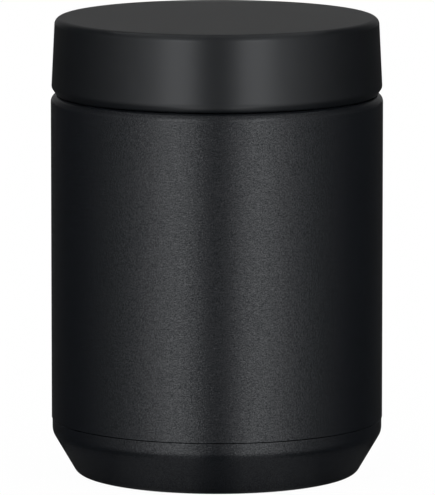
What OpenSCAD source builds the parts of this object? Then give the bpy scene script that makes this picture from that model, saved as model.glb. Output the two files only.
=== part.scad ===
// Insulated food jar, 0.5 litre class: a double-walled steel jar with a vacuum
// between its walls, and a screw lid that carries a swivelling, vented stopper.
// Origin: centre of the foot ring, on the surface that the jar stands on. +Z is up.
// Every turned part is a polygon of [radius, height] points, spun about Z.

/* [Jar] */
// Outside diameter of the painted wall
body_d = 95; // [90:0.5:105]
// Height of the shoulder, where the lid's edge comes down
shoulder_z = 109.3; // [90:0.1:150]
// Rounding of the shoulder's outer edge
shoulder_round = 2.2; // [1:0.1:3]
// Diameter of the mouth, inside the neck
mouth_d = 70; // [66:0.5:72]
// Height of the neck above the shoulder
neck_h = 12; // [11.5:0.1:12.5]
// Sheet thickness of the outer wall, paint included
outer_sheet = 0.6; // [0.5:0.1:0.8]
// Sheet thickness of the inner wall
inner_sheet = 0.5; // [0.4:0.1:0.6]
// Vacuum gap between the straight walls
vacuum_gap = 2.8; // [2:0.1:4]

/* [Base] */
// Height of the seam where the base cup goes up into the wall
seam_z = 16; // [14:0.5:20]
// How far the base cup stands in from the wall at that seam
seam_step = 0.2; // [0.1:0.05:0.5]
// Height at which the base starts to taper in
taper_z = 12; // [9:0.5:13]
// Radius at which the taper would meet the floor
foot_r = 40.25; // [38:0.25:43]
// Rounding between the taper and the foot
foot_round = 2.6; // [1:0.1:3]
// Height of the hollow under the base
hollow_h = 2; // [1.5:0.1:2.5]

/* [Lid] */
// Height from the shoulder to the lid's flat top
lid_h = 22; // [21.5:0.1:27]
// Radius of the lid where its side meets the top
lid_top_r = 46.3; // [45.5:0.1:47]
// Radius of the lid where its side meets the bevel below
lid_low_r = 47.3; // [47:0.1:47.5]
// Rounding of the lid's upper edge
lid_top_round = 2; // [1:0.1:3]
// Height of the bevel round the lid's lower edge
lid_bevel_h = 1.9; // [1.2:0.1:2.4]
// How far that bevel stands in
lid_bevel_w = 1.3; // [0.6:0.1:1.6]
// Rounding between the lid's side and the bevel
lid_low_round = 1.6; // [0.5:0.1:2.4]
// Gap between the lid's lower edge and the shoulder
lid_gap = 0.15; // [0.15:0.05:0.6]

/* [Screw thread] */
// Number of thread starts round the neck
thread_starts = 3; // [2:1:4]
// Height between one ridge and the next
thread_pitch = 5; // [5:0.5:6]
// How far a ridge of the neck stands out
neck_ridge_h = 1.1; // [0.9:0.1:1.2]
// How far a ridge of the lid stands in
lid_ridge_h = 1; // [0.8:0.1:1.1]
// Axial play between the flanks when the lid is closed
thread_play = 0.25; // [0.15:0.05:0.4]

/* [Vent valve] */
// Travel of the valve from shut to open
vent_travel = 1.5; // [1:0.1:2]
// Turns of the valve's spring
spring_turns = 7; // [5:1:9]
// Wire diameter of the spring
spring_wire = 0.6; // [0.4:0.1:0.7]

/* [Hidden] */
$fn = 96;

// Colours
paint_black = "#26272a";
moulded_black = "#2c2d2f";
stopper_grey = "#3b3d40";
steel_grey = "#b9bcbf";
silicone_grey = "#c9cac6";
foam_white = "#eceae4";
foil_silver = "#d6d8da";
getter_grey = "#77787a";
solder_grey = "#8f9496";

// Jar
body_r = body_d / 2;
mouth_r = mouth_d / 2;
wall_in_r = body_r - outer_sheet;           // inside of the outer wall
inner_r = wall_in_r - vacuum_gap - inner_sheet; // food side of the inner wall
rim_z = shoulder_z + neck_h;
rim_round = 1.2;                            // radius of the welded rim's half round
rim_centre_z = rim_z - rim_round;
neck_r = mouth_r + 2 * rim_round;           // outside of the neck
neck_root_round = 0.8;
lip_low_z = rim_centre_z - 0.4;             // lower edge of the rim's lip
weld_gap = 0.05;                            // room between sheets that are welded
neck_top_z = lip_low_z - weld_gap;          // the outer wall ends under the lip
vessel_joint_z = 22;                        // the inner bottom meets the inner wall here
vessel_shoulder_z = shoulder_z - 14;        // the inner wall turns in from here
vessel_shoulder_round = 7;
vessel_neck_z = shoulder_z - 5;             // and up the mouth from here
vessel_neck_round = 5;
vessel_floor_z = 8.5;                       // food side of the inner bottom
vessel_corner = 12;

// Base
base_r = body_r - seam_step;
base_lap_h = 4;                             // how far the base cup reaches up inside the wall
base_lap_r = wall_in_r - weld_gap;
base_joggle_z = seam_z - weld_gap;
base_joggle_h = 0.35;                       // height of the small step in to the lap
taper_round = 4.5;
hollow_r = 28.5;
foot_in_r = 31;
foot_in_round = 1.2;                        // also of the hollow's edge
dimple_z = hollow_h + 1;                    // the pumping hole lies in a dimple
dimple_r = 4.5;
dimple_flare = 1.5;                         // how much wider the dimple is at its mouth
dimple_round = 0.8;
pump_hole_r = 1;
pump_plug_low_z = dimple_z - 0.3;           // solder that has run into the hole
pump_bead_r = 2.4;
pump_bead_h = 0.8;
disc_r = 12;                                // cover that hides the pumping hole
disc_t = 0.5;

// Shields and getter
foil_t = 0.2;
foil_room = 0.35;
foil_low_z = vessel_joint_z + 1.5;
foil_high_z = vessel_shoulder_z - 2;
foil_window_r = 11;
getter_r = 5;
getter_room = 0.1;
holder_sheet = 0.3;
holder_flange_r = 8.5;
holder_low_z = 4.7;
vessel_underside_z = vessel_floor_z - inner_sheet;
getter_top_z = vessel_underside_z - 0.35;

// Lid
top_z = shoulder_z + lid_h;
lid_low_z = shoulder_z + lid_gap;
cover_t = 2.1;                              // wall and top of the cover
cover_lip_t = 2.2;                          // thickness of the cover's lower edge, bevel included
cover_lip_r = lid_low_r - cover_lip_t;
cover_ledge_z = lid_low_z + 2.6;            // the collar's flange lies under this ledge
cover_ledge_w = 0.5;
cover_in_round = 1;
collar_r = neck_r + neck_ridge_h + 0.4;     // inside of the threaded skirt
collar_t = 2.1;
collar_low_z = lid_low_z + 0.9;
collar_flange_t = 1.6;
collar_flange_r = cover_lip_r - 0.1;
collar_ceiling_z = rim_z + 2.8;
collar_roof_t = 1.6;
collar_in_round = 0.4;
collar_foot_round = 0.6;
collar_top_round = 1;
pusher_r = 8;                               // hollow above the vent cap
pusher_z = collar_ceiling_z + 0.8;
snap_z = rim_z;                             // middle of the bead that carries the stopper
snap_r = collar_r - 0.9;
snap_crest_w = 0.4;
snap_root_w = 1.3;
foam_room = 0.2;
foam_chamfer = 1.2;

// Stopper
plate_low_z = rim_z + 0.7;
plate_t = 1.8;
plate_r = collar_r - 0.5;
plate_top_round = 0.6;
plate_low_round = 0.3;
plate_spigot_h = 2;
plate_spigot_t = 1.5;
plate_spigot_room = 0.1;
cup_r = mouth_r - 1.4;
cup_t = 1.5;
cup_floor_t = 1.8;
cup_low_z = rim_z - 16.5;
cup_top_z = plate_low_z - weld_gap;
cup_round = 3;
seal_t = 0.5;                               // flange of the stopper's seal
seal_gap = 0.15;                            // room between the seal and the jar
seal_low_z = rim_z - 3.5;
seal_in_r = cup_r + weld_gap;
seal_bulge = 0.5;                           // how far the seal's lip stands out
seal_bulge_low = 0.9;                       // heights of the bulge above the seal's lower edge
seal_bulge_high = 1.6;
seal_neck_drop = 1.2;                       // and of its top below the flange
seal_round = 0.4;
bead_h = 0.6;                               // bead on the cup that holds the seal up
bead_z = seal_low_z - 0.5;
bead_crest_w = 0.3;
bead_ramp = 0.7;                            // height of its lower, sloping side

// Vent valve
vent_boss_r = 5.2;                          // inside of the tube that guides the cap
vent_boss_t = 1.6;
boss_foot_round = 0.6;
vent_hole_r = 3;
vent_stem_r = 1.8;
vent_stem_round = 0.5;
vent_head_r = 8.5;
vent_head_t = 1.4;
vent_head_round = 0.3;
vent_edge_w = 1.6;                          // the head's lower edge is a quarter ellipse
vent_edge_h = 0.7;
vent_dome_h = 0.4;                          // and its middle hangs a little lower
vent_seal_r = 6.7;                          // middle of the valve's flat ring seal
vent_seal_low_w = 2.2;
vent_seal_top_w = 1.6;
vent_seal_t = 0.6;
vent_seal_round = 0.15;
vent_seal_gap = 0.02;                       // room under the ring
vent_head_z = cup_low_z - 0.1 - vent_seal_t; // top face of the valve's head
vent_cap_r = vent_boss_r - 0.3;
vent_cap_low_round = 0.3;
vent_cap_top_round = 0.8;
vent_socket_r = vent_stem_r + weld_gap;
vent_cap_low_z = rim_z - 1.1;
vent_cap_top_z = pusher_z - 0.4;
vent_stop_r = vent_boss_r - 0.8;            // ledge in the guide tube that stops the cap
vent_stop_z = vent_cap_low_z - vent_travel - 0.2;
vent_stem_top_z = vent_cap_low_z + 2.1;
spring_low_z = cup_low_z + cup_floor_t + 0.1;
spring_high_z = vent_cap_low_z - 0.05;
spring_r = 3.4;
spring_sides = 6;
spring_steps = 18;                          // rings in each turn of the spring

// Threads. At any place round the neck, ridges lie one pitch apart.
thread_lead = thread_starts * thread_pitch;
ridge_root_w = 2.4;                         // width of a ridge where it meets its wall
ridge_crest_w = 1;
ridge_bury = 0.3;                           // how deep a ridge's root lies in its wall
ridge_ramp = 18;                            // degrees over which a ridge's end sinks away
ridge_step = 6;                             // degrees between rings of a ridge
thread_phase = 17;                          // where the first ridge starts, off the X axis
ridge_contact = 1.42;                       // distance of ridge centres at which flanks touch
neck_ridge_low_z = rim_z - 8.6;
neck_ridge_high_z = rim_z - 2.9;
lid_ridge_rise = 4;
lid_ridge_phase = 60;                       // degrees from a neck ridge's start to a lid ridge's
lid_ridge_start_z = neck_ridge_low_z + thread_lead * lid_ridge_phase / 360
    - ridge_contact - thread_play;

// ---- Shapes ----

function unit(v) = v / norm(v);
function flat(p) = [p[0], p[1]];
function turned(p) = [for (i = [len(p) - 1:-1:0]) p[i]];
function shortest(a) = a > 180 ? a - 360 : a < -180 ? a + 360 : a;
function angle_of(v) = atan2(v[1], v[0]);

// Points of an arc about centre c, from angle a0 through sweep
function arc(c, r, a0, sweep, steps = 6) =
    [for (i = [0:steps]) c + r * [cos(a0 + sweep * i / steps), sin(a0 + sweep * i / steps)]];

// The corner at point b, between a and c, rounded to radius r
function round_corner(a, b, c, r) =
    let (
        to_a = unit(a - b),
        to_c = unit(c - b),
        half = acos(to_a * to_c) / 2,
        centre = b + unit(to_a + to_c) * r / sin(half),
        a0 = angle_of(b + to_a * r / tan(half) - centre),
        a1 = angle_of(b + to_c * r / tan(half) - centre)
    )
    arc(centre, r, a0, shortest(a1 - a0));

// A path through points [radius, height, rounding], its inner corners rounded
function rounded(p) = [
    for (i = [0:len(p) - 1])
        each (i == 0 || i == len(p) - 1 || len(p[i]) < 3)
            ? [flat(p[i])]
            : round_corner(flat(p[i - 1]), flat(p[i]), flat(p[i + 1]), p[i][2])
];

// The path moved sideways by t, to its left where t is above zero
function left_of(a, b) = unit([a[1] - b[1], b[0] - a[0]]);
function moved(p, t) = [
    for (i = [0:len(p) - 1])
        let (
            n0 = left_of(p[max(i, 1) - 1], p[max(i, 1)]),
            n1 = left_of(p[min(i, len(p) - 2)], p[min(i, len(p) - 2) + 1]),
            middle = unit(n0 + n1)
        )
        p[i] + middle * t / (middle * n0)
];

// Sheet of thickness t that follows a path
function sheet(p, t) = concat(p, turned(moved(p, t)));

module spin(points) rotate_extrude() polygon(points);

// One mesh skin round rings of points, closed at both ends. Each ring turns
// clockwise seen along the way that the rings follow one another.
module skin(rings) {
    n = len(rings[0]);
    last = len(rings) - 1;
    polyhedron(
        points = [for (ring = rings) each ring],
        faces = concat(
            [[for (i = [0:n - 1]) i]],
            [for (k = [0:last - 1], i = [0:n - 1])
                each let (
                    a = k * n + i,
                    b = k * n + (i + 1) % n
                ) [[a, b + n, b], [a, a + n, b + n]]],
            [[for (i = [n - 1:-1:0]) last * n + i]]
        )
    );
}

// A helical ridge on a wall of radius wall_r. side is 1 outwards, -1 inwards.
module ridge(wall_r, side, h, z0, rise) {
    sweep = 360 * rise / thread_lead;
    steps = ceil(sweep / ridge_step);
    root_r = wall_r - side * ridge_bury;
    rings = [
        for (k = [0:steps])
            let (
                a = sweep * k / steps,
                z = z0 + rise * k / steps,
                fade = min(1, a / ridge_ramp, (sweep - a) / ridge_ramp),
                crest_r = wall_r + side * (fade * (h + 0.1) - 0.1),
                section = [
                    [root_r, z - ridge_root_w / 2],
                    [crest_r, z - ridge_crest_w / 2],
                    [crest_r, z + ridge_crest_w / 2],
                    [root_r, z + ridge_root_w / 2],
                ],
                ring = side > 0 ? turned(section) : section
            )
            [for (p = ring) [p[0] * cos(a), p[0] * sin(a), p[1]]]
    ];
    for (start = [0:thread_starts - 1])
        rotate([0, 0, thread_phase + start * 360 / thread_starts])
            skin(rings);
}

// ---- Jar ----

module outer_shell() {
    wall = rounded([
        [body_r, seam_z],
        [body_r, shoulder_z, shoulder_round],
        [neck_r, shoulder_z, neck_root_round],
        [neck_r, neck_top_z],
    ]);
    color(paint_black) {
        spin(sheet(wall, outer_sheet));
        ridge(neck_r, 1, neck_ridge_h, neck_ridge_low_z, neck_ridge_high_z - neck_ridge_low_z);
    }
}

module outer_base() {
    cup = rounded([
        [pump_hole_r, dimple_z],
        [dimple_r, dimple_z, dimple_round],
        [dimple_r + dimple_flare, hollow_h, dimple_round],
        [hollow_r, hollow_h, foot_in_round],
        [foot_in_r, 0, foot_in_round],
        [foot_r, 0, foot_round],
        [base_r, taper_z, taper_round],
        [base_r, base_joggle_z - base_joggle_h],
        [base_lap_r, base_joggle_z],
        [base_lap_r, seam_z + base_lap_h],
    ]);
    color(paint_black) spin(sheet(cup, outer_sheet));
}

module inner_vessel() {
    wall = rounded([
        [inner_r, vessel_joint_z],
        [inner_r, vessel_shoulder_z, vessel_shoulder_round],
        [mouth_r, vessel_neck_z, vessel_neck_round],
        [mouth_r, lip_low_z],
    ]);
    lip = arc([mouth_r + rim_round, rim_centre_z], rim_round, 180, -180, 12);
    color(steel_grey)
        spin(concat(wall, lip, [[neck_r, lip_low_z]], turned(moved(wall, -inner_sheet))));
}

vessel_dish = rounded([
    [0, vessel_floor_z],
    [inner_r, vessel_floor_z, vessel_corner],
    [inner_r, vessel_joint_z - weld_gap],
]);

module inner_base() color(steel_grey) spin(sheet(vessel_dish, -inner_sheet));

module radiation_foil() {
    foil_r = inner_r + inner_sheet + foil_room;
    color(foil_silver)
        spin(sheet([[foil_r, foil_low_z], [foil_r, foil_high_z]], -foil_t));
}

module base_foil() {
    under = moved(rounded([
        [foil_window_r, vessel_floor_z],
        [inner_r, vessel_floor_z, vessel_corner],
        [inner_r, vessel_joint_z - weld_gap],
    ]), -inner_sheet - foil_room);
    color(foil_silver) spin(sheet(under, -foil_t));
}

module getter() color(getter_grey)
    translate([0, 0, holder_low_z + holder_sheet + weld_gap])
        cylinder(r = getter_r, h = getter_top_z - holder_low_z - holder_sheet - weld_gap);

module getter_holder() {
    side_r = getter_r + getter_room + holder_sheet;
    flange_z = vessel_underside_z - weld_gap - holder_sheet;
    color(steel_grey) spin(sheet([
        [0, holder_low_z],
        [side_r, holder_low_z],
        [side_r, flange_z],
        [holder_flange_r, flange_z],
    ], holder_sheet));
}

// Solder that closes the pumping hole: a plug in the hole and a bead over its lower end
module vacuum_seal() color(solder_grey) {
    bead_z = dimple_z - weld_gap;
    translate([0, 0, pump_plug_low_z])
        cylinder(r = pump_hole_r - weld_gap, h = dimple_z + outer_sheet - pump_plug_low_z);
    spin(concat(
        [[0, bead_z], [pump_bead_r, bead_z]],
        [for (a = [15:15:90]) [pump_bead_r * cos(a), bead_z - pump_bead_h * sin(a)]]
    ));
}

module seal_cover() color(steel_grey)
    translate([0, 0, hollow_h - weld_gap - disc_t])
        cylinder(r = disc_r, h = disc_t);

// ---- Lid ----

module lid_cover() {
    outside = rounded([
        [0, top_z],
        [lid_top_r, top_z, lid_top_round],
        [lid_low_r, lid_low_z + lid_bevel_h, lid_low_round],
        [lid_low_r - lid_bevel_w, lid_low_z],
        [cover_lip_r, lid_low_z],
    ]);
    inside = rounded([
        [cover_lip_r, cover_ledge_z],
        [cover_lip_r - cover_ledge_w, cover_ledge_z],
        [lid_top_r - cover_t, top_z - cover_t, cover_in_round],
        [0, top_z - cover_t],
    ]);
    color(moulded_black) spin(concat(outside, inside));
}

module lid_collar() {
    roof_z = collar_ceiling_z + collar_roof_t;
    flange_z = collar_low_z + collar_flange_t;
    underside = rounded([
        [0, pusher_z],
        [pusher_r, pusher_z],
        [pusher_r, collar_ceiling_z],
        [collar_r, collar_ceiling_z, collar_in_round],
        [collar_r, snap_z + snap_root_w / 2],
        [snap_r, snap_z + snap_crest_w / 2],
        [snap_r, snap_z - snap_crest_w / 2],
        [collar_r, snap_z - snap_root_w / 2],
        [collar_r, collar_low_z, collar_in_round],
        [collar_flange_r, collar_low_z],
    ]);
    topside = rounded([
        [collar_flange_r, flange_z],
        [collar_r + collar_t, flange_z, collar_foot_round],
        [collar_r + collar_t, roof_z, collar_top_round],
        [pusher_r + collar_roof_t, roof_z],
        [pusher_r + collar_roof_t, pusher_z + collar_roof_t],
        [0, pusher_z + collar_roof_t],
    ]);
    color(moulded_black) {
        spin(concat(underside, topside));
        rotate([0, 0, lid_ridge_phase])
            ridge(collar_r, -1, lid_ridge_h, lid_ridge_start_z, lid_ridge_rise);
    }
}

module lid_foam() {
    low_z = collar_ceiling_z + collar_roof_t + foam_room;
    hump_z = pusher_z + collar_roof_t + foam_room;
    hump_r = pusher_r + collar_roof_t + foam_room;
    foam_r = collar_r + collar_t - collar_top_round;
    high_z = top_z - cover_t - foam_room;
    color(foam_white) spin([
        [0, hump_z], [hump_r, hump_z], [hump_r, low_z],
        [foam_r, low_z], [foam_r, high_z], [0, high_z],
    ]);
}

// ---- Stopper ----

module stopper_plate() {
    spigot_r = cup_r - cup_t - plate_spigot_room;
    spigot_z = plate_low_z - plate_spigot_h;
    color(stopper_grey) spin(concat(
        rounded([
            [vent_boss_r, plate_low_z + plate_t],
            [plate_r, plate_low_z + plate_t, plate_top_round],
            [plate_r, plate_low_z, plate_low_round],
            [spigot_r, plate_low_z],
        ]),
        [
            [spigot_r, spigot_z], [spigot_r - plate_spigot_t, spigot_z],
            [spigot_r - plate_spigot_t, plate_low_z], [vent_boss_r, plate_low_z],
        ]
    ));
}

module stopper_cup() {
    floor_z = cup_low_z + cup_floor_t;
    boss_out_r = vent_boss_r + vent_boss_t;
    outside = rounded([
        [vent_hole_r, cup_low_z],
        [cup_r, cup_low_z, cup_round],
        [cup_r, bead_z - bead_ramp],
        [cup_r + bead_h, bead_z],
        [cup_r + bead_h, bead_z + bead_crest_w],
        [cup_r, bead_z + bead_crest_w],
        [cup_r, cup_top_z],
    ]);
    inside = rounded([
        [cup_r - cup_t, cup_top_z],
        [cup_r - cup_t, floor_z, cup_round - cup_t],
        [boss_out_r, floor_z, boss_foot_round],
        [boss_out_r, cup_top_z],
        [vent_boss_r, cup_top_z],
        [vent_boss_r, vent_stop_z],
        [vent_stop_r, vent_stop_z],
        [vent_stop_r, floor_z],
        [vent_hole_r, floor_z],
    ]);
    color(stopper_grey) spin(concat(outside, inside));
}

module stopper_foam() {
    low_z = cup_low_z + cup_floor_t + foam_room;
    high_z = plate_low_z - plate_spigot_h - foam_room;
    in_r = vent_boss_r + vent_boss_t + foam_room;
    out_r = cup_r - cup_t - foam_room;
    color(foam_white) spin([
        [in_r + boss_foot_round, low_z], [out_r - foam_chamfer, low_z], [out_r, low_z + foam_chamfer],
        [out_r, high_z], [in_r, high_z], [in_r, low_z + boss_foot_round],
    ]);
}

// The seal's flange lies on the rim, and its lip bulges against the mouth.
module stopper_seal() {
    flange_z = rim_z + seal_gap;
    lip_r = mouth_r - seal_gap;
    neck_side_r = lip_r - seal_bulge;
    color(silicone_grey) spin(concat(
        rounded([
            [seal_in_r, seal_low_z],
            [neck_side_r, seal_low_z, seal_round / 2],
            [lip_r, seal_low_z + seal_bulge_low, seal_round],
            [lip_r, seal_low_z + seal_bulge_high, seal_round],
            [neck_side_r, flange_z - seal_neck_drop, seal_round],
            [neck_side_r, flange_z, seal_round],
            [neck_r - seal_round, flange_z, seal_round / 2],
            [neck_r - seal_round, flange_z + seal_t],
        ]),
        [[seal_in_r, flange_z + seal_t]]
    ));
}

// ---- Vent valve ----

module vent_valve() {
    low_z = vent_head_z - vent_head_t;
    edge = [
        for (a = [80:-20:0])
            [vent_head_r - vent_edge_w * (1 - cos(a)), low_z + vent_edge_h * (1 - sin(a))]
    ];
    color(stopper_grey) spin(concat(
        [[0, low_z - vent_dome_h]],
        edge,
        rounded([
            [vent_head_r, low_z + vent_edge_h + weld_gap],
            [vent_head_r, vent_head_z, vent_head_round],
            [vent_stem_r, vent_head_z, vent_stem_round],
            [vent_stem_r, vent_stem_top_z, vent_stem_round],
            [0, vent_stem_top_z],
        ])
    ));
}

module vent_seal() {
    low_z = vent_head_z + vent_seal_gap;
    high_z = vent_head_z + vent_seal_t;
    low_w = vent_seal_low_w / 2;
    top_w = vent_seal_top_w / 2;
    color(silicone_grey) spin(rounded([
        [vent_seal_r, low_z],
        [vent_seal_r + low_w, low_z, vent_seal_round],
        [vent_seal_r + top_w, high_z, vent_seal_round],
        [vent_seal_r - top_w, high_z, vent_seal_round],
        [vent_seal_r - low_w, low_z, vent_seal_round],
        [vent_seal_r - top_w, low_z],
    ]));
}

module vent_cap() color(stopper_grey) difference() {
    spin(rounded([
        [0, vent_cap_low_z],
        [vent_cap_r, vent_cap_low_z, vent_cap_low_round],
        [vent_cap_r, vent_cap_top_z, vent_cap_top_round],
        [0, vent_cap_top_z],
    ]));
    translate([0, 0, vent_cap_low_z - 1])
        cylinder(r = vent_socket_r, h = vent_stem_top_z - vent_cap_low_z + 1 + 2 * weld_gap);
}

// Wire wound from one end to the other, with a closed turn at each end
module vent_spring() {
    wire_r = spring_wire / 2;
    end_rise = 1.1 * spring_wire;
    open_turns = spring_turns - 2;
    open_rise = spring_high_z - spring_low_z - spring_wire - 2 * end_rise;
    rings = [
        for (k = [0:spring_turns * spring_steps])
            let (
                turn = k / spring_steps,
                opened = min(max(turn - 1, 0), open_turns) / open_turns,
                closed = min(turn, 1) + max(turn - spring_turns + 1, 0),
                z = spring_low_z + wire_r + end_rise * closed + open_rise * opened
            )
            [for (i = [0:spring_sides - 1])
                let (
                    b = -360 * i / spring_sides,
                    r = spring_r + wire_r * cos(b)
                )
                [r * cos(360 * turn), r * sin(360 * turn), z + wire_r * sin(b)]]
    ];
    color(steel_grey) skin(rings);
}

outer_shell();
outer_base();
inner_vessel();
inner_base();
radiation_foil();
base_foil();
getter();
getter_holder();
vacuum_seal();
seal_cover();
lid_cover();
lid_collar();
lid_foam();
stopper_plate();
stopper_cup();
stopper_foam();
stopper_seal();
vent_valve();
vent_seal();
vent_cap();
vent_spring();
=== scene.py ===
"""Insulated food jar with a screw lid and a vented stopper: its finished surfaces.

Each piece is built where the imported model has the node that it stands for. Lengths are in
millimetres until a mesh is made, and a turned piece is an outline of (radius, height) points.
"""
import logging
import math
from collections.abc import Callable
from dataclasses import dataclass
from enum import Enum
from typing import Any

import bmesh
import bpy
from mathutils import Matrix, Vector


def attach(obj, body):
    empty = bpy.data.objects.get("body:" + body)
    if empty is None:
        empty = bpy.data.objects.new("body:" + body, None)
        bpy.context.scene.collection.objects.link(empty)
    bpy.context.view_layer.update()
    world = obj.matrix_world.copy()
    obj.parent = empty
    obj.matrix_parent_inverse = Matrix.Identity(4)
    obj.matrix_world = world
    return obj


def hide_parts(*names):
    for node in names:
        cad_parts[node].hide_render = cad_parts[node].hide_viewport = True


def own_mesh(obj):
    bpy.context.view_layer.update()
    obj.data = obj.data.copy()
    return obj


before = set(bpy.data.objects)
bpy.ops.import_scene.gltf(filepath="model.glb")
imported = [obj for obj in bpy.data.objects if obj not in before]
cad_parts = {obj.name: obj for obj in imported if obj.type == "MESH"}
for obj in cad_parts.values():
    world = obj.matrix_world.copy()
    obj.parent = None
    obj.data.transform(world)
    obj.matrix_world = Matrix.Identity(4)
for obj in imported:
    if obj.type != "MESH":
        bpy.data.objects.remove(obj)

MM = 0.001
ON_AXIS = 1e-6
MATH = "ShaderNodeMath"
VECTOR_MATH = "ShaderNodeVectorMath"

Point = tuple[float, float]
Outline = list[Point]
Piece = bpy.types.Object
Material = bpy.types.Material
Tree = bpy.types.NodeTree
Node = bpy.types.Node
Socket = bpy.types.NodeSocket

log = logging.getLogger("food_jar")


class Body(Enum):
    """The rigid bodies that pieces ride on."""

    JAR = "jar"
    STOPPER = "stopper"
    LID = "lid"
    VENT = "vent"


class Slot(Enum):
    """The material slots that the new pieces belong in. They are passed along but not used."""

    BODY_PAINT = "body_paint"
    STEEL = "steel"
    LID_PLASTIC = "lid_plastic"
    STOPPER_PLASTIC = "stopper_plastic"
    SILICONE = "silicone"
    SPRING_STEEL = "spring_steel"


class Side(Enum):
    """The side of a wall that a screw ridge stands on."""

    OUTSIDE = 1.0
    INSIDE = -1.0


def linear(code: str) -> tuple[float, float, float, float]:
    """Turns an sRGB hex colour to linear.

    Args:
        code: The colour, such as "#1a1b1c".

    Returns:
        Linear red, green and blue, and an alpha of 1.
    """
    levels = [int(code[i:i + 2], 16) / 255 for i in (1, 3, 5)]
    return (*(v / 12.92 if v <= 0.04045 else ((v + 0.055) / 1.055) ** 2.4 for v in levels), 1.0)


def in_scene(name: str, data: bpy.types.ID) -> Piece:
    """Puts a new object in the scene, at the origin.

    Args:
        name: Its name.
        data: Its mesh, lamp or camera.

    Returns:
        The object.
    """
    thing = bpy.data.objects.new(name, data)
    bpy.context.scene.collection.objects.link(thing)
    return thing


def add_node(tree: Tree, kind: str, inputs: dict[Any, Any] | None = None, **settings: Any) -> Node:
    """Adds a node with its settings and links.

    Args:
        tree: The tree that the node goes in.
        kind: The node's type name.
        inputs: For a socket's name or number, the value that it takes, the output that it is
            linked to, or the node whose first output it is linked to.
        **settings: The node's own properties.

    Returns:
        The new node.
    """
    node = tree.nodes.new(kind)
    for key, value in settings.items():
        setattr(node, key, value)
    for key, value in (inputs or {}).items():
        if isinstance(value, Node):
            value = value.outputs[0]
        if isinstance(value, Socket):
            tree.links.new(value, node.inputs[key])
        else:
            node.inputs[key].default_value = value
    return node


# ---- Outlines and turned meshes ----


def unit(v: Point) -> Point:
    """The direction of v, one long."""
    n = math.hypot(*v)
    return v[0] / n, v[1] / n


def arc(centre: Point, radius: float, start: float, sweep: float, step: float = 7.5) -> Outline:
    """Makes points along an arc.

    Args:
        centre: The arc's centre.
        radius: Its radius.
        start: The angle of its first point, in degrees.
        sweep: The angle that it turns through, in degrees, negative for clockwise.
        step: The largest angle between two points, in degrees.

    Returns:
        The points, both ends included.
    """
    count = max(2, math.ceil(abs(sweep) / step))
    angles = [math.radians(start + sweep * i / count) for i in range(count + 1)]
    return [(centre[0] + radius * math.cos(a), centre[1] + radius * math.sin(a)) for a in angles]


def round_corner(before: Point, corner: Point, after: Point, radius: float) -> Outline:
    """Rounds one corner.

    Args:
        before: The point before the corner.
        corner: The corner.
        after: The point after it.
        radius: The radius of the rounding.

    Returns:
        The arc's points, in place of the corner.
    """
    to_a = unit((before[0] - corner[0], before[1] - corner[1]))
    to_b = unit((after[0] - corner[0], after[1] - corner[1]))
    half = math.acos(max(-1.0, min(1.0, to_a[0] * to_b[0] + to_a[1] * to_b[1]))) / 2
    middle = unit((to_a[0] + to_b[0], to_a[1] + to_b[1]))
    reach = radius / math.sin(half)
    tangent = radius / math.tan(half)
    centre = (corner[0] + middle[0] * reach, corner[1] + middle[1] * reach)
    start, end = (
        math.degrees(math.atan2(corner[1] + d[1] * tangent - centre[1],
                                corner[0] + d[0] * tangent - centre[0]))
        for d in (to_a, to_b)
    )
    return arc(centre, radius, start, (end - start + 180) % 360 - 180)


def rounded(*corners: tuple[float, ...]) -> Outline:
    """Makes an open outline whose corners may be rounded.

    Args:
        *corners: Radius and height, and the rounding where a corner has one.

    Returns:
        The outline's points.
    """
    points: Outline = []
    for i, corner in enumerate(corners):
        if len(corner) == 3:
            points += round_corner(corners[i - 1][:2], corner[:2], corners[i + 1][:2], corner[2])
        else:
            points.append(corner)
    return points


def moved(path: Outline, distance: float) -> Outline:
    """Moves an outline sideways.

    Args:
        path: The outline.
        distance: How far to its left it goes, or to its right where this is negative.

    Returns:
        The moved outline, with as many points.
    """
    left = [unit((a[1] - b[1], b[0] - a[0])) for a, b in zip(path, path[1:])]
    result = []
    for i, p in enumerate(path):
        n0, n1 = left[max(i - 1, 0)], left[min(i, len(left) - 1)]
        middle = unit((n0[0] + n1[0], n0[1] + n1[1]))
        reach = distance / (middle[0] * n0[0] + middle[1] * n0[1])
        result.append((p[0] + middle[0] * reach, p[1] + middle[1] * reach))
    return result


def sheet(path: Outline, thickness: float) -> Outline:
    """The closed outline of a sheet on the left of a path, or on its right if it is negative."""
    return path + moved(path, thickness)[::-1]


def eased(loop: Outline, edge: float, step: float = 22.5, sharp: float = 25.0) -> Outline:
    """Takes the sharpness off the corners of a closed outline.

    Args:
        loop: The outline. Points on the axis are left as they are.
        edge: The radius that a sharp corner gets, where its sides are long enough for it.
        step: The largest angle between two points of such a corner, in degrees.
        sharp: The turn at which a corner counts as sharp, in degrees.

    Returns:
        The outline with its sharp corners rounded.
    """
    side_share = 0.45
    points: Outline = []
    for i, p in enumerate(loop):
        a, b = loop[i - 1], loop[(i + 1) % len(loop)]
        to_a, to_b = (a[0] - p[0], a[1] - p[1]), (b[0] - p[0], b[1] - p[1])
        la, lb = math.hypot(*to_a), math.hypot(*to_b)
        cos = (to_a[0] * to_b[0] + to_a[1] * to_b[1]) / (la * lb)
        turn = 180 - math.degrees(math.acos(max(-1.0, min(1.0, cos))))
        if turn < sharp or p[0] < ON_AXIS:
            points.append(p)
            continue
        radius = min(edge, side_share * min(la, lb) * math.tan(math.radians(90 - turn / 2)))
        rounding = round_corner(a, p, b, radius)
        count = max(2, math.ceil(turn / step))
        points += [rounding[round(k * (len(rounding) - 1) / count)] for k in range(count + 1)]
    return points


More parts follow.
